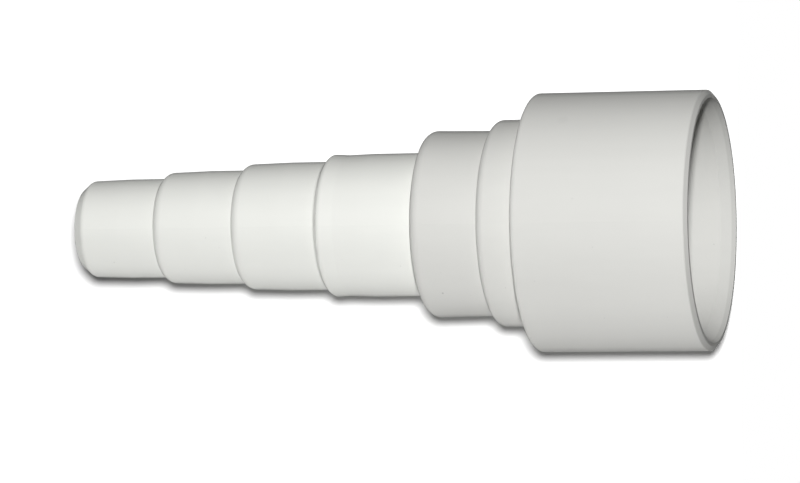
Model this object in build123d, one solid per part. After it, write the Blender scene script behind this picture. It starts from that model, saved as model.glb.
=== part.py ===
from build123d import *
import math
import os

# Pipe reducer in two moulded pieces that are cemented together: a reducing socket for a
# 63 mm pipe at the wide end, and a stepped hose tail for four hose sizes at the narrow end.
# It stands on its wide mouth. The origin is the centre of that mouth, with +Z up the axis
# towards the narrow end. Lengths are millimetres, and d is a diameter.

# Reducing socket, wide end
PIPE_BORE_D = 63.3
PIPE_BORE_DEPTH = 38.0
PIPE_STOP = 2.3
MOUTH_WALL = 4.35
MOUTH_LEAD_IN = 2.15
MOUTH_LEAD_IN_DEPTH = 4.0
MOUTH_BEVEL = 1.2
MOUTH_BEVEL_HEIGHT = 1.0
MOUTH_BEVEL_ROUND = 0.3
SHOULDER_BEHIND_STOP = 11.1
SHOULDER_ROUND = 1.4

# Reducing socket, funnel, collar and narrow end
FUNNEL_STRAIGHT = 4.0
FUNNEL_LENGTH = 8.4
SEAT_BEHIND_FUNNEL = 4.0
SPIGOT_BORE_DEPTH = 25.8
NECK_WALL = 6.27
NECK_DRAFT_DEG = 0.85
NECK_LEAD_IN = 1.0
NECK_ROUND = 2.8
COLLAR_LENGTH = 11.4
COLLAR_STEP = 2.68
COLLAR_ROUND = 2.2
FOOT_FILLET = 0.6

# Hose tail: each step is a tapered lead and a parallel land that the hose clip closes on.
# The last land stands over the spigot, and each step before it is one hose size smaller.
HOSE_SIZE_STEP = 4.0
STEP_LENGTHS = (24.3, 23.6, 24.6, 28.9)
LAND_LENGTHS = (10.6, 10.6, 10.6, 15.6)
LEAD_DROPS = (0.35, 0.35, 0.35, 0.25)
LAND_OVER_SPIGOT = 0.3
FACE_LEAN_DEG = 37.0
FACE_ROUND = 3.0
FACE_FILLET = 0.4
BEAD_HEIGHT = 0.25
BEAD_LENGTH = 4.5
BEAD_ROUND = 1.6
BEAD_FILLET = 0.9
NOSE_TAPER = 2.4
NOSE_TAPER_LENGTH = 2.8
NOSE_TAPER_ROUND = 2.0
NOSE_ROUND = 0.6
NOSE_BORE_ROUND = 0.15
TAIL_WALL = 3.6
TAIL_STAND_OFF = 0.4
SPIGOT_D = 39.5
SPIGOT_CHAMFER = 0.8
CEMENT_GAP = 0.1

# Shares of a wall that the roundings at its two edges may take
CROWN_SHARE = 0.76
ROOT_SHARE = 0.2
FACE_CROWN_SHARE = 0.73
FACE_ROOT_SHARE = 0.25

pipe_bore_r = PIPE_BORE_D / 2
spigot_r = SPIGOT_D / 2
spigot_bore_r = spigot_r + CEMENT_GAP
waterway_r = spigot_r - TAIL_WALL
funnel_z = PIPE_BORE_DEPTH + FUNNEL_STRAIGHT
seat_z = funnel_z + FUNNEL_LENGTH + SEAT_BEHIND_FUNNEL
neck_z = seat_z + SPIGOT_BORE_DEPTH


def turned(corners):
    """Solid of revolution about Z from the (radius, height, rounding) corners of its section."""
    points = [(radius, height) for radius, height, _ in corners]
    roundings = [rounding for _, _, rounding in corners]
    outline = FilletPolyline(*points, radius=roundings, close=True)
    return revolve(Plane.XZ * make_face(outline), Axis.Z)


def reducing_socket():
    """Wide socket, collar and narrow socket, moulded as one piece around a funnel."""
    shoulder_z = PIPE_BORE_DEPTH + SHOULDER_BEHIND_STOP
    collar_z = shoulder_z + COLLAR_LENGTH
    mouth_r = pipe_bore_r + MOUTH_WALL
    neck_r = spigot_bore_r + NECK_WALL
    neck_foot_r = neck_r - (neck_z - collar_z) * math.tan(math.radians(NECK_DRAFT_DEG))
    collar_r = neck_r + COLLAR_STEP
    ledge_r = pipe_bore_r - PIPE_STOP
    bevel = min(MOUTH_BEVEL, CROWN_SHARE * (MOUTH_WALL - MOUTH_LEAD_IN))
    bevel_round = min(MOUTH_BEVEL_ROUND, CROWN_SHARE * bevel)
    shoulder = mouth_r - collar_r
    collar = collar_r - neck_foot_r
    outside = [
        (mouth_r - bevel, 0, bevel_round),
        (mouth_r, MOUTH_BEVEL_HEIGHT, bevel_round),
        (mouth_r, shoulder_z, min(SHOULDER_ROUND, CROWN_SHARE * shoulder)),
        (collar_r, shoulder_z, min(FOOT_FILLET, ROOT_SHARE * shoulder)),
        (collar_r, collar_z, min(COLLAR_ROUND, CROWN_SHARE * collar)),
        (neck_foot_r, collar_z, min(FOOT_FILLET, ROOT_SHARE * collar)),
        (neck_r, neck_z, min(NECK_ROUND, CROWN_SHARE * (NECK_WALL - NECK_LEAD_IN))),
    ]
    inside = [
        (spigot_bore_r + NECK_LEAD_IN, neck_z, 0),
        (spigot_bore_r, neck_z - NECK_LEAD_IN, 0),
        (spigot_bore_r, seat_z, 0),
        (waterway_r, seat_z, 0),
        (waterway_r, seat_z - SEAT_BEHIND_FUNNEL, FOOT_FILLET),
        (ledge_r, funnel_z, FOOT_FILLET),
        (ledge_r, PIPE_BORE_DEPTH, 0),
        (pipe_bore_r, PIPE_BORE_DEPTH, 0),
        (pipe_bore_r, MOUTH_LEAD_IN_DEPTH, 0),
        (pipe_bore_r + MOUTH_LEAD_IN, 0, 0),
    ]
    return turned(outside + inside)


def hose_tail():
    """Four hose steps, widest next to the spigot that is cemented into the socket."""
    last = len(STEP_LENGTHS) - 1
    lands = [spigot_r + LAND_OVER_SPIGOT - HOSE_SIZE_STEP * (last - i) / 2 for i in range(last + 1)]
    cores = [land - TAIL_WALL for land in lands[:last]] + [waterway_r]
    # feet[i] is the height at which step i ends, on the wide side
    feet = [neck_z + TAIL_STAND_OFF + sum(STEP_LENGTHS[i + 1:]) for i in range(last + 1)]
    top_z = feet[0] + STEP_LENGTHS[0]
    nose_r = lands[0] - LEAD_DROPS[0]
    taper = min(NOSE_TAPER, CROWN_SHARE * (nose_r - cores[0]))
    taper_round = min(NOSE_TAPER_ROUND, FACE_CROWN_SHARE * NOSE_TAPER_LENGTH)
    end_face = nose_r - taper - cores[0]
    lean = math.radians(FACE_LEAN_DEG)
    # A rounding of radius 1 takes this much of a face that leans back from square
    tangent = math.tan((math.pi / 2 - lean) / 2)

    outside = [
        (nose_r - taper, top_z, min(NOSE_ROUND, CROWN_SHARE * end_face)),
        (nose_r, top_z - NOSE_TAPER_LENGTH, taper_round),
    ]
    waterway = [(cores[0], top_z, min(NOSE_BORE_ROUND, ROOT_SHARE * end_face))]
    for i, (land, drop) in enumerate(zip(lands, LEAD_DROPS)):
        if i:
            crown, root = (BEAD_ROUND, BEAD_FILLET) if i == last else (FACE_ROUND, FACE_FILLET)
            lead = land - drop + (BEAD_HEIGHT if i == last else 0)
            rise = lead - lands[i - 1]
            face = rise / math.cos(lean) / tangent
            face_z = feet[i - 1] - rise * math.tan(lean)
            outside.append((lands[i - 1], feet[i - 1], min(root, FACE_ROOT_SHARE * face)))
            outside.append((lead, face_z, min(crown, FACE_CROWN_SHARE * face)))
            if i == last:
                outside.append((land - drop, face_z - BEAD_LENGTH, 0))
            core_z = feet[i - 1] - TAIL_WALL
            waterway.append((cores[i - 1], core_z, FACE_FILLET))
            waterway.append((cores[i], core_z - (cores[i] - cores[i - 1]), FACE_FILLET))
        outside.append((land, feet[i] + LAND_LENGTHS[i], 0))
    outside.append((lands[last], feet[last], 0))
    spigot = [
        (spigot_r, feet[last], 0),
        (spigot_r, seat_z + SPIGOT_CHAMFER, 0),
        (spigot_r - SPIGOT_CHAMFER, seat_z, 0),
        (waterway_r, seat_z, 0),
    ]
    return turned(outside + spigot + waterway[::-1])


os.makedirs("parts", exist_ok=True)
export_step(reducing_socket(), "parts/reducing_socket.step")
export_step(hose_tail(), "parts/hose_tail.step")
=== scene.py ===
"""Dresses a two-piece PVC pipe reducer, which stands on its wide mouth, and sets up its studio.

Lengths are metres and angles radians, unless a name says otherwise. The axis of the reducer is
+Z, and the camera looks at it from beyond the mouth, turned so that the axis lies level.
"""

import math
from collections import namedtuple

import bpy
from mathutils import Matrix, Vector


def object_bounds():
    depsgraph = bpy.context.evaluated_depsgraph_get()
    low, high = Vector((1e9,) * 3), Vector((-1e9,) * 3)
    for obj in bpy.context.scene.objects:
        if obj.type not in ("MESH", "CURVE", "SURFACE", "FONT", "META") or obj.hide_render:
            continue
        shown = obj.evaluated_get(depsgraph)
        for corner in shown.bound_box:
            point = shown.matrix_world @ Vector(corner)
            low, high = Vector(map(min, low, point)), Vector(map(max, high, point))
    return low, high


bl_info = {
    "name": "Pipe Reducer",
    "version": (1, 1, 0),
    "blender": (4, 5, 0),
    "location": "3D View > Sidebar > Pipe Reducer",
    "description": "Dresses a two-piece PVC pipe reducer and sets up its studio",
    "category": "Object",
}

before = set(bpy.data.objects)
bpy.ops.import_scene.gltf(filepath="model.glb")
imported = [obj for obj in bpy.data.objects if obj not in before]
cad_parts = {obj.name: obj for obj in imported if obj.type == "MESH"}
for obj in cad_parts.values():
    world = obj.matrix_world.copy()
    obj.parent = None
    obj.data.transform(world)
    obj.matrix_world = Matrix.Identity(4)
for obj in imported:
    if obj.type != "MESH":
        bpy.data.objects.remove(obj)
CAD_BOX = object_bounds()

IMAGE_WIDTH_PX = 800
SENSOR_WIDTH_MM = 36.0
MILLIMETRE = 0.001
MICROMETRE = 1e-6

PVC_IOR = 1.53
# Most of a noise texture's values lie between these
NOISE_LOW, NOISE_HIGH = 0.3, 0.7
# Share of the streaks' scale that is left along the axis, which draws them out
STREAK_SCALE_ALONG = 0.12
# A speck is darkest up to this share of its radius
SPECK_CORE = 0.5
# Layer Weight's Facing, 0 square-on and 1 edge-on, above which painted shade darkens the wall
OUTLINE_FACING = 0.75
# Shares of its height between which the painted shade at the mouth's edge passes into the wall
RIM_SHADE_FADE = (0.9, 1.2)
# Shares of its width, from its centre, between which a mark passes into the wall
MARK_FADE = (0.2, 0.6)
# How far the grain takes the roughness up and down
ROUGHNESS_SWING = 0.04

# Height of a direction, as a sine, over which the light from all round changes at the horizon
HORIZON_BLEND = 0.2
FLOOR_SIDES = 64
# The floor shows from 2 degrees above it, and the backdrop within 37 degrees of square-on
FLOOR_CLEAR_BEYOND = 0.97
BACKDROP_CLEAR_BEYOND = 0.2

# Marks that the photo shows on the socket: burnt specks and a smudge are darker than the
# wall, and the nicks on the rim lighter, as wear with a painted glint on it. Angles run
# round the axis from +X.
Mark = namedtuple("Mark", "angle_deg radius_mm height_mm width_mm shade")
SOCKET_MARKS = (
    Mark(-47.1, 25.9, 72.5, 0.6, 0.6),
    Mark(-49.8, 25.7, 64.8, 0.5, 0.85),
    Mark(-61.3, 36.0, 47.8, 0.6, 0.8),
    Mark(-67.9, 36.0, 47.8, 0.6, 0.8),
    Mark(50.8, 36.0, 36.7, 3.4, 0.97),
    # Lighter nicks on and by the rim: partly wear, partly a painted glint
    Mark(75.5, 33.8, 0.0, 0.7, 1.25),
    Mark(84.2, 33.8, 0.0, 0.5, 1.25),
    Mark(94.3, 33.8, 0.0, 0.5, 1.25),
    Mark(102.1, 33.8, 0.0, 0.5, 1.25),
    Mark(142.4, 31.7, 3.6, 0.5, 1.1),
)


def linear(hex_colour):
    """The linear RGB of an sRGB hex colour such as #F2F2EE."""
    channels = [int(hex_colour[i:i + 2], 16) / 255 for i in (1, 3, 5)]
    return [c / 12.92 if c <= 0.04045 else ((c + 0.055) / 1.055) ** 2.4 for c in channels]


def per_metre(millimetres):
    """The texture scale at which a pattern's features measure this many millimetres."""
    return 1000.0 / millimetres


def add(tree, kind, inputs=None, **settings):
    """Adds a node. Each input takes a value, or the socket of another node as a link."""
    made = tree.nodes.new(kind)
    for name, value in settings.items():
        setattr(made, name, value)
    for socket, value in (inputs or {}).items():
        if isinstance(value, bpy.types.NodeSocket):
            tree.links.new(value, made.inputs[socket])
        else:
            made.inputs[socket].default_value = value
    return made


def new_material(name):
    """An empty node material and its node tree."""
    material = bpy.data.materials.new(name)
    material.use_nodes = True
    material.node_tree.nodes.clear()
    return material, material.node_tree


def wall_shades(tree, place, finish, marks):
    """What shades the wall, as rows of measure, start, end and shade.

    Where the measure is at its start the colour is multiplied by the shade, and where it is at
    its end the colour stays as it is.
    """
    clouds = add(
        tree, "ShaderNodeTexNoise",
        {"Vector": place, "Scale": per_metre(finish.mottle_mm), "Detail": 3.0, "Roughness": 0.6},
    ).outputs["Fac"]
    drawn_out = add(
        tree, "ShaderNodeMapping", {"Vector": place, "Scale": (1.0, 1.0, STREAK_SCALE_ALONG)},
    ).outputs["Vector"]
    streaks = add(
        tree, "ShaderNodeTexNoise",
        {"Vector": drawn_out, "Scale": per_metre(finish.streak_mm), "Detail": 2.0},
    ).outputs["Fac"]
    flow = add(tree, "ShaderNodeMath", {0: clouds, 1: streaks}, operation="ADD").outputs["Value"]
    from_speck = add(
        tree, "ShaderNodeTexVoronoi",
        {"Vector": place, "Scale": per_metre(finish.speck_spacing_mm)},
    ).outputs["Distance"]
    # The distance to a speck is in speck spacings
    speck_radius = finish.speck_mm / 2 / finish.speck_spacing_mm
    facing = add(tree, "ShaderNodeLayerWeight", {"Blend": 0.5}).outputs["Facing"]
    height = add(tree, "ShaderNodeSeparateXYZ", {"Vector": place}).outputs["Z"]
    rim_start, rim_end = [share * finish.rim_shade_mm * MILLIMETRE for share in RIM_SHADE_FADE]
    shades = [
        (flow, 2 * NOISE_LOW, 2 * NOISE_HIGH, 1.0 - finish.mottle_depth),
        (from_speck, SPECK_CORE * speck_radius, speck_radius, 1.0 - finish.speck_depth),
        # Painted shade where the wall turns out of sight
        (facing, 1.0, OUTLINE_FACING, 1.0 - finish.edge_shade_depth),
        # Painted shade on the edge at the mouth
        (height, rim_start, rim_end, 1.0 - finish.rim_shade_depth),
    ]
    for mark in marks:
        angle = math.radians(mark.angle_deg)
        spot = (
            mark.radius_mm * MILLIMETRE * math.cos(angle),
            mark.radius_mm * MILLIMETRE * math.sin(angle),
            mark.height_mm * MILLIMETRE,
        )
        from_mark = add(
            tree, "ShaderNodeVectorMath", {0: place, 1: spot}, operation="DISTANCE",
        ).outputs["Value"]
        start, end = [share * mark.width_mm * MILLIMETRE for share in MARK_FADE]
        shades.append((from_mark, start, end, mark.shade))
    return shades


def moulded_pvc(name, colour, finish, marks=()):
    """Injection-moulded PVC: opaque, satin, and even in colour but for faint flow marks.

    To the eye it is a soft, slightly warm plastic. Melt that ran along the mould leaves wide
    pale mottling and faint streaks, the mould's fine grain breaks up the gloss, and a few dark
    specks are burnt resin. Painted shade darkens the wall where it turns out of sight, and a
    little painted shade darkens the edge at the mouth. Marks sit at places of their own.
    """
    material, tree = new_material(name)
    place = add(tree, "ShaderNodeTexCoord").outputs["Object"]

    value = 1.0
    for measure, start, end, shade in wall_shades(tree, place, finish, marks):
        factor = add(
            tree, "ShaderNodeMapRange",
            {"Value": measure, "From Min": start, "From Max": end, "To Min": shade,
             "To Max": 1.0},
        ).outputs["Result"]
        value = add(
            tree, "ShaderNodeMath", {0: value, 1: factor}, operation="MULTIPLY",
        ).outputs["Value"]
    # Sockets 6, 7 and 2 are the colour mix's A, B and result
    base = add(
        tree, "ShaderNodeMix", {"Factor": 1.0, 6: (*colour, 1.0), 7: value},
        data_type="RGBA", blend_type="MULTIPLY",
    ).outputs[2]

    grain = add(
        tree, "ShaderNodeTexNoise",
        {"Vector": place, "Scale": per_metre(finish.grain_mm), "Detail": 2.0},
    ).outputs["Fac"]
    roughness = add(
        tree, "ShaderNodeMapRange",
        {"Value": grain, "From Min": NOISE_LOW, "From Max": NOISE_HIGH,
         "To Min": finish.roughness - ROUGHNESS_SWING,
         "To Max": finish.roughness + ROUGHNESS_SWING},
    ).outputs["Result"]
    peel = add(
        tree, "ShaderNodeBump",
        {"Height": grain, "Strength": 1.0, "Distance": finish.grain_depth_um * MICROMETRE},
    ).outputs["Normal"]
    waves = add(
        tree, "ShaderNodeTexNoise",
        {"Vector": place, "Scale": per_metre(finish.wave_mm), "Detail": 1.0},
    ).outputs["Fac"]
    normal = add(
        tree, "ShaderNodeBump",
        {"Height": waves, "Normal": peel, "Strength": 1.0,
         "Distance": finish.wave_depth_um * MICROMETRE},
    ).outputs["Normal"]

    shader = add(
        tree, "ShaderNodeBsdfPrincipled",
        {"Base Color": base, "Roughness": roughness, "Normal": normal, "IOR": PVC_IOR,
         "Specular IOR Level": finish.specular},
    )
    add(tree, "ShaderNodeOutputMaterial", {"Surface": shader.outputs["BSDF"]})
    return material


def matt_card(name, colour, lift, clear_beyond):
    """Matt grey card that its own lamp lights to white, with the part's soft shadow on it.

    It is grey so that light from the part hardly shows on it, and lift is what it glows by
    itself towards the camera. It is clear from behind, and where Layer Weight's Facing is above
    clear_beyond: from 0 for a card that is seen square-on to 1 for one seen along its surface.
    """
    material, tree = new_material(name)
    camera_ray = add(tree, "ShaderNodeLightPath").outputs["Is Camera Ray"]
    facing = add(tree, "ShaderNodeLayerWeight", {"Blend": 0.5}).outputs["Facing"]
    slanted = add(
        tree, "ShaderNodeMath", {0: facing, 1: clear_beyond}, operation="GREATER_THAN",
    ).outputs["Value"]
    behind = add(tree, "ShaderNodeNewGeometry").outputs["Backfacing"]
    unseen = add(
        tree, "ShaderNodeMath", {0: behind, 1: slanted}, operation="MAXIMUM",
    ).outputs["Value"]
    card = add(tree, "ShaderNodeBsdfDiffuse", {"Color": (*colour, 1.0)}).outputs["BSDF"]
    strength = add(
        tree, "ShaderNodeMath", {0: camera_ray, 1: lift}, operation="MULTIPLY",
    ).outputs["Value"]
    glow = add(tree, "ShaderNodeEmission", {"Strength": strength}).outputs["Emission"]
    front = add(tree, "ShaderNodeAddShader", {0: card, 1: glow}).outputs["Shader"]
    clear = add(tree, "ShaderNodeBsdfTransparent").outputs["BSDF"]
    sheet = add(tree, "ShaderNodeMixShader", {0: unseen, 1: front, 2: clear}).outputs["Shader"]
    add(tree, "ShaderNodeOutputMaterial", {"Surface": sheet})
    return material


class PipeReducerFinish(bpy.types.PropertyGroup):
    """Colours and surface of the two mouldings."""

    white: bpy.props.FloatVectorProperty(
        name="White PVC", description="Colour of the hose tail", subtype="COLOR", size=3,
        default=linear("#F4F5F0"), min=0.0, max=1.0)
    grey: bpy.props.FloatVectorProperty(
        name="Grey PVC", description="Colour of the reducing socket", subtype="COLOR", size=3,
        default=linear("#DFDFDB"), min=0.0, max=1.0)
    roughness: bpy.props.FloatProperty(
        name="Roughness", description="Satin of the moulded surface", default=0.65,
        min=0.1, max=0.9, subtype="FACTOR")
    specular: bpy.props.FloatProperty(
        name="Specular", description="Strength of the gloss", default=0.06,
        min=0.0, max=1.0, subtype="FACTOR")
    mottle_mm: bpy.props.FloatProperty(
        name="Mottling size (mm)", description="Width of the pale clouds in the colour",
        default=26.0, min=1.0)
    mottle_depth: bpy.props.FloatProperty(
        name="Mottling depth", description="How much darker the dark clouds are",
        default=0.03, min=0.0, max=0.5, subtype="FACTOR")
    streak_mm: bpy.props.FloatProperty(
        name="Streak width (mm)", description="Width of the flow streaks along the axis",
        default=5.0, min=0.2)
    speck_mm: bpy.props.FloatProperty(
        name="Speck size (mm)", description="Width of a burnt speck", default=0.32, min=0.05)
    speck_spacing_mm: bpy.props.FloatProperty(
        name="Speck spacing (mm)", description="Mean distance between specks in the resin",
        default=5.0, min=0.5)
    speck_depth: bpy.props.FloatProperty(
        name="Speck depth", description="How dark a speck is", default=0.35,
        min=0.0, max=1.0, subtype="FACTOR")
    # Painted shade on the wall where it turns out of sight
    edge_shade_depth: bpy.props.FloatProperty(
        name="Edge depth", description="How much darker the wall is where it turns out of sight",
        default=0.45, min=0.0, max=1.0, subtype="FACTOR")
    # Painted shade on the edge at the mouth: its height, and how much darker it is
    rim_shade_mm: bpy.props.FloatProperty(
        name="Rim height (mm)", description="Height of the shade-painted edge at the mouth",
        default=1.1, min=0.0)
    rim_shade_depth: bpy.props.FloatProperty(
        name="Rim depth", description="How much darker the shade-painted edge at the mouth is",
        default=0.12, min=0.0, max=1.0, subtype="FACTOR")
    grain_mm: bpy.props.FloatProperty(
        name="Grain size (mm)", description="Width of the mould's fine grain", default=0.9,
        min=0.05)
    grain_depth_um: bpy.props.FloatProperty(
        name="Grain depth (micrometres)", description="Height of the mould's fine grain",
        default=3.0, min=0.0)
    wave_mm: bpy.props.FloatProperty(
        name="Waviness (mm)", description="Width of the slow waves in the walls",
        default=17.0, min=1.0)
    wave_depth_um: bpy.props.FloatProperty(
        name="Wave depth (micrometres)", description="Height of the slow waves",
        default=30.0, min=0.0)


class PipeReducerStage(bpy.types.PropertyGroup):
    """Camera, lamps, floor and backdrop."""

    camera_distance: bpy.props.FloatProperty(
        name="Camera distance", description="From the reducer's axis to the camera",
        default=1.1914, unit="LENGTH")
    camera_beyond_mouth: bpy.props.FloatProperty(
        name="Camera beyond mouth", description="How far past the mouth the camera stands",
        default=0.23635, unit="LENGTH")
    camera_turn: bpy.props.FloatProperty(
        name="Camera turn", description="Turn from square-on towards the narrow end",
        default=math.radians(15.29), unit="ROTATION")
    camera_tilt: bpy.props.FloatProperty(
        name="Camera tilt", description="Tilt across the axis",
        default=math.radians(-0.2173), unit="ROTATION")
    camera_roll: bpy.props.FloatProperty(
        name="Camera roll", description="Roll about the line of sight",
        default=math.radians(-0.8354), unit="ROTATION")
    focal_px: bpy.props.FloatProperty(
        name="Focal length (pixels)", description="Focal length for an image 800 pixels wide",
        default=4400.0, min=100.0)
    lamp_distance: bpy.props.FloatProperty(
        name="Lamp distance", description="From the reducer's middle to the lamps by the camera",
        default=1.235, unit="LENGTH")
    key_rise: bpy.props.FloatProperty(
        name="Key rise", description="How far the key lamp stands above the line of sight",
        default=math.radians(8.0), unit="ROTATION")
    key_side: bpy.props.FloatProperty(
        name="Key side", default=math.radians(0.5), unit="ROTATION",
        description="How far the key lamp stands beside the line of sight, towards the mouth")
    key_spread: bpy.props.FloatProperty(
        name="Key spread", description="Width of the key lamp as the reducer sees it",
        default=math.radians(3.0), unit="ROTATION")
    key_strength: bpy.props.FloatProperty(
        name="Key strength", description="Watts per square metre that the key lamp brings",
        default=3.04, min=0.0)
    backdrop_lamp_rise: bpy.props.FloatProperty(
        name="Backdrop lamp rise", description="How far it stands above the line of sight",
        default=math.radians(2.9), unit="ROTATION")
    backdrop_lamp_spread: bpy.props.FloatProperty(
        name="Backdrop lamp spread", description="Its width, which blurs the shadow",
        default=math.radians(4.8), unit="ROTATION")
    backdrop_lamp_strength: bpy.props.FloatProperty(
        name="Backdrop lamp strength", description="Watts per square metre on the backdrop only",
        default=11.0, min=0.0)
    fill_strength: bpy.props.FloatProperty(
        name="Fill strength", description="Watts per square metre from the picture's foot",
        default=1.6, min=0.0)
    fill_turn: bpy.props.FloatProperty(
        name="Fill turn", description="Turn of the fill light away from the mouth",
        default=math.radians(12.0), unit="ROTATION")
    fill_swing: bpy.props.FloatProperty(
        name="Fill swing", description="Swing of the fill light behind the reducer",
        default=math.radians(18.0), unit="ROTATION")
    fill_spread: bpy.props.FloatProperty(
        name="Fill spread", description="Width of the fill light as the reducer sees it",
        default=math.radians(30.0), unit="ROTATION")
    top_strength: bpy.props.FloatProperty(
        name="Top strength", description="Watts per square metre from over the narrow end",
        default=0.5, min=0.0)
    top_spread: bpy.props.FloatProperty(
        name="Top spread", description="Width of the top light as the reducer sees it",
        default=math.radians(20.0), unit="ROTATION")
    back_strength: bpy.props.FloatProperty(
        name="Back strength", description="Watts per square metre from behind",
        default=2.4, min=0.0)
    back_height: bpy.props.FloatProperty(
        name="Back height", description="How far above level the back light stands",
        default=math.radians(4.0), unit="ROTATION")
    back_spread: bpy.props.FloatProperty(
        name="Back spread", description="Width of the back light as the reducer sees it",
        default=math.radians(10.0), unit="ROTATION")
    overhead_strength: bpy.props.FloatProperty(
        name="Overhead strength", description="Watts per square metre on the floor only",
        default=4.2, min=0.0)
    overhead_lean: bpy.props.FloatProperty(
        name="Overhead lean", description="Lean of the overhead light towards the camera",
        default=math.radians(20.0), unit="ROTATION")
    overhead_side: bpy.props.FloatProperty(
        name="Overhead side", description="Its lean towards the picture's foot",
        default=math.radians(25.0), unit="ROTATION")
    overhead_spread: bpy.props.FloatProperty(
        name="Overhead spread", description="Width of the overhead light as the floor sees it",
        default=math.radians(25.0), unit="ROTATION")
    ambient_above: bpy.props.FloatProperty(
        name="Ambient above", description="Light from all round above the floor", default=0.03,
        min=0.0)
    ambient_below: bpy.props.FloatProperty(
        name="Ambient below", description="Light from all round below the floor", default=0.02,
        min=0.0)
    card: bpy.props.FloatVectorProperty(
        name="Card", description="Colour of the floor and the backdrop", subtype="COLOR",
        size=3, default=linear("#A0A0A0"), min=0.0, max=1.0)
    floor_radius: bpy.props.FloatProperty(
        name="Floor radius", description="Radius of the round floor", default=3.0,
        unit="LENGTH")
    floor_lift: bpy.props.FloatProperty(
        name="Floor lift", description="Own brightness of the floor towards the camera",
        default=0.68, min=0.0)
    backdrop_gap: bpy.props.FloatProperty(
        name="Backdrop gap", description="From the reducer to the card behind it",
        default=0.0015, unit="LENGTH")
    backdrop_margin: bpy.props.FloatProperty(
        name="Backdrop margin", description="How far the card reaches past the reducer",
        default=0.12, unit="LENGTH")
    backdrop_lift: bpy.props.FloatProperty(
        name="Backdrop lift", description="Own brightness of the card towards the camera",
        default=0.06, min=0.0)


def dress(node, material):
    """Gives a CAD node one material in its slots."""
    node.data.materials.clear()
    node.data.materials.append(material)


class PIPE_REDUCER_OT_hose_tail(bpy.types.Operator):
    """Gives the hose tail its white moulded PVC"""

    bl_idname = "pipe_reducer.hose_tail"
    bl_label = "Dress Hose Tail"

    def execute(self, context):
        finish = context.scene.pipe_reducer_finish
        dress(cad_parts["hose_tail"], moulded_pvc("moulded_white_pvc", finish.white, finish))
        return {"FINISHED"}


class PIPE_REDUCER_OT_reducing_socket(bpy.types.Operator):
    """Gives the reducing socket its light grey moulded PVC"""

    bl_idname = "pipe_reducer.reducing_socket"
    bl_label = "Dress Reducing Socket"

    def execute(self, context):
        finish = context.scene.pipe_reducer_finish
        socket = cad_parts["reducing_socket"]
        dress(socket, moulded_pvc("moulded_grey_pvc", finish.grey, finish, SOCKET_MARKS))
        return {"FINISHED"}


def card_sheet(name, corners, material):
    """A flat sheet that only the camera sees. Its corners run anticlockwise from its front."""
    mesh = bpy.data.meshes.new(name)
    mesh.from_pydata(corners, [], [range(len(corners))])
    sheet = bpy.data.objects.new(name, mesh)
    bpy.context.scene.collection.objects.link(sheet)
    mesh.materials.append(material)
    for ray in ("diffuse", "glossy", "transmission", "volume_scatter", "shadow"):
        setattr(sheet, f"visible_{ray}", False)
    return sheet


def aim_from_camera(item, stage, rise=0.0, side=0.0, roll=0.0):
    """Turns a camera or lamp to look along the line of sight, off it by rise and side."""
    item.rotation_mode = "ZXY"
    item.rotation_euler = (stage.camera_tilt - rise, math.pi / 2 + stage.camera_turn + side, roll)


def new_lamp(context, name, kind, strength, lit_items):
    """A lamp that lights these items only. Everything still casts its shadow."""
    data = bpy.data.lights.new(name, kind)
    data.energy = strength
    lamp = bpy.data.objects.new(name, data)
    context.scene.collection.objects.link(lamp)
    lit = bpy.data.collections.new(f"lit_by_{name}")
    for item in lit_items:
        lit.objects.link(item)
    lamp.light_linking.receiver_collection = lit
    return lamp


def add_sun(context, name, strength, spread, turn, lit_items):
    """A sun lamp that is turned from shining straight down."""
    lamp = new_lamp(context, name, "SUN", strength, lit_items)
    lamp.data.angle = spread
    lamp.rotation_euler = turn


def add_disc_lamp(context, name, strength, spread, lit_items, rise, side=0.0):
    """A round lamp by the camera, aimed at the reducer's middle.

    Strength and spread are what it brings there, and how wide it looks from there.
    """
    stage = context.scene.pipe_reducer_stage
    distance = stage.lamp_distance
    power = strength * math.pi * distance ** 2
    lamp = new_lamp(context, name, "AREA", power, lit_items)
    lamp.data.shape = "DISK"
    lamp.data.size = 2 * distance * math.tan(spread / 2)
    aim_from_camera(lamp, stage, rise=rise, side=side)
    low, high = CAD_BOX
    towards_lamp = lamp.rotation_euler.to_matrix() @ Vector((0.0, 0.0, 1.0))
    lamp.location = (low + high) / 2 + distance * towards_lamp


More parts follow.
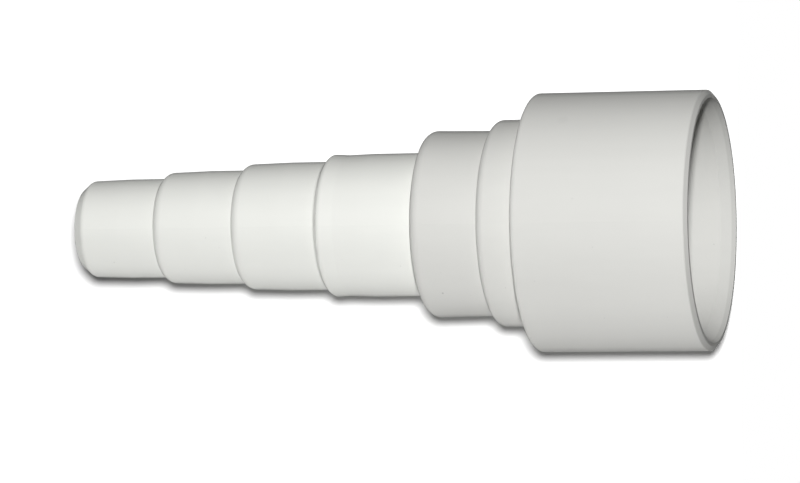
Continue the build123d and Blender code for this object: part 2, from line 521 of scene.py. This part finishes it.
class PIPE_REDUCER_OT_stage(bpy.types.Operator):
    """Makes the camera, the floor, the backdrop, the lamps and the white world around them"""

    bl_idname = "pipe_reducer.stage"
    bl_label = "Set Up Stage"

    def execute(self, context):
        stage = context.scene.pipe_reducer_stage
        self.make_camera(context, stage)
        floor, backdrop = self.make_cards(stage)
        self.make_lamps(context, stage, floor, backdrop)
        self.make_world(context, stage)
        context.scene.view_settings.view_transform = "Standard"
        return {"FINISHED"}

    def make_camera(self, context, stage):
        data = bpy.data.cameras.new("camera")
        data.sensor_width = SENSOR_WIDTH_MM
        data.lens = stage.focal_px / IMAGE_WIDTH_PX * SENSOR_WIDTH_MM
        camera = bpy.data.objects.new("camera", data)
        camera.location = (stage.camera_distance, 0.0, -stage.camera_beyond_mouth)
        aim_from_camera(camera, stage, roll=stage.camera_roll)
        context.scene.collection.objects.link(camera)
        context.scene.camera = camera

    def make_lamps(self, context, stage, floor, backdrop):
        """Makes the lamps, each for the pieces that it lights.

        The key lights the part from beside the camera, the fill from the picture's foot, the
        top the faces of its steps, and the back its far side. The backdrop has a lamp of its
        own, nearer the line of sight than the key, because the photo's shadow behind the part
        is shorter than the one inside its mouth. The floor has one from overhead, which gives
        the standing part its shadow.
        """
        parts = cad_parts.values()
        add_disc_lamp(
            context, "key", stage.key_strength, stage.key_spread, parts,
            rise=stage.key_rise, side=stage.key_side)
        add_disc_lamp(
            context, "backdrop_lamp", stage.backdrop_lamp_strength, stage.backdrop_lamp_spread,
            [backdrop], rise=stage.backdrop_lamp_rise)
        add_sun(
            context, "fill", stage.fill_strength, stage.fill_spread,
            (math.pi / 2 - stage.fill_turn, 0.0, -stage.fill_swing), parts)
        add_sun(
            context, "back", stage.back_strength, stage.back_spread,
            (0.0, stage.back_height - math.pi / 2, 0.0), parts)
        add_sun(context, "top", stage.top_strength, stage.top_spread, (0.0, 0.0, 0.0), parts)
        add_sun(
            context, "overhead", stage.overhead_strength, stage.overhead_spread,
            (stage.overhead_side, stage.overhead_lean, 0.0), [floor])

    def make_world(self, context, stage):
        """White to the camera and in reflections. As a light it is a dim grey, darker below."""
        world = bpy.data.worlds.new("white_studio")
        world.use_nodes = True
        tree = world.node_tree
        tree.nodes.clear()
        direction = add(tree, "ShaderNodeTexCoord").outputs["Generated"]
        height = add(tree, "ShaderNodeSeparateXYZ", {"Vector": direction}).outputs["Z"]
        ambient = add(
            tree, "ShaderNodeMapRange",
            {"Value": height, "From Min": -HORIZON_BLEND, "From Max": HORIZON_BLEND,
             "To Min": stage.ambient_below, "To Max": stage.ambient_above},
        ).outputs["Result"]
        path = add(tree, "ShaderNodeLightPath")
        seen = path.outputs["Is Camera Ray"]
        for ray in ("Is Glossy Ray", "Is Transmission Ray"):
            seen = add(
                tree, "ShaderNodeMath", {0: seen, 1: path.outputs[ray]}, operation="MAXIMUM",
            ).outputs["Value"]
        strength = add(
            tree, "ShaderNodeMapRange", {"Value": seen, "To Min": ambient, "To Max": 1.0},
        ).outputs["Result"]
        light = add(
            tree, "ShaderNodeBackground", {"Color": (1.0, 1.0, 1.0, 1.0), "Strength": strength},
        )
        add(tree, "ShaderNodeOutputWorld", {"Surface": light.outputs["Background"]})
        context.scene.world = world

    def make_cards(self, stage):
        """The floor under the reducer and the backdrop behind it, in that order."""
        low, high = CAD_BOX
        radius = stage.floor_radius
        turn = 2 * math.pi / FLOOR_SIDES
        rim = [
            (radius * math.cos(i * turn), radius * math.sin(i * turn), low.z)
            for i in range(FLOOR_SIDES)
        ]
        x = low.x - stage.backdrop_gap
        side, top, foot = high.y + stage.backdrop_margin, high.z + stage.backdrop_margin, low.z
        corners = [(x, -side, foot), (x, side, foot), (x, side, top), (x, -side, top)]
        floor_card = matt_card(
            "matt_card_floor", stage.card, stage.floor_lift, FLOOR_CLEAR_BEYOND)
        backdrop_card = matt_card(
            "matt_card_backdrop", stage.card, stage.backdrop_lift, BACKDROP_CLEAR_BEYOND)
        return (
            card_sheet("floor", rim, floor_card),
            card_sheet("backdrop", corners, backdrop_card),
        )


class PIPE_REDUCER_PT_panel(bpy.types.Panel):
    """Lists the sizes and colours, and the steps that use them"""

    bl_idname = "PIPE_REDUCER_PT_panel"
    bl_label = "Pipe Reducer"
    bl_space_type = "VIEW_3D"
    bl_region_type = "UI"
    bl_category = "Pipe Reducer"

    def draw(self, context):
        for group in ("pipe_reducer_finish", "pipe_reducer_stage"):
            settings = getattr(context.scene, group)
            box = self.layout.box()
            for name in settings.__annotations__:
                box.prop(settings, name)
        for step in STEPS:
            self.layout.operator(step.bl_idname)


STEPS = (
    PIPE_REDUCER_OT_hose_tail,
    PIPE_REDUCER_OT_reducing_socket,
    PIPE_REDUCER_OT_stage,
)
CLASSES = (PipeReducerFinish, PipeReducerStage, *STEPS, PIPE_REDUCER_PT_panel)


def register():
    for cls in CLASSES:
        bpy.utils.register_class(cls)
    scene = bpy.types.Scene
    scene.pipe_reducer_finish = bpy.props.PointerProperty(type=PipeReducerFinish)
    scene.pipe_reducer_stage = bpy.props.PointerProperty(type=PipeReducerStage)


def unregister():
    del bpy.types.Scene.pipe_reducer_stage
    del bpy.types.Scene.pipe_reducer_finish
    for cls in reversed(CLASSES):
        bpy.utils.unregister_class(cls)


def main():
    register()
    bpy.ops.pipe_reducer.hose_tail()
    bpy.ops.pipe_reducer.reducing_socket()
    bpy.ops.pipe_reducer.stage()


if __name__ == "__main__":
    main()
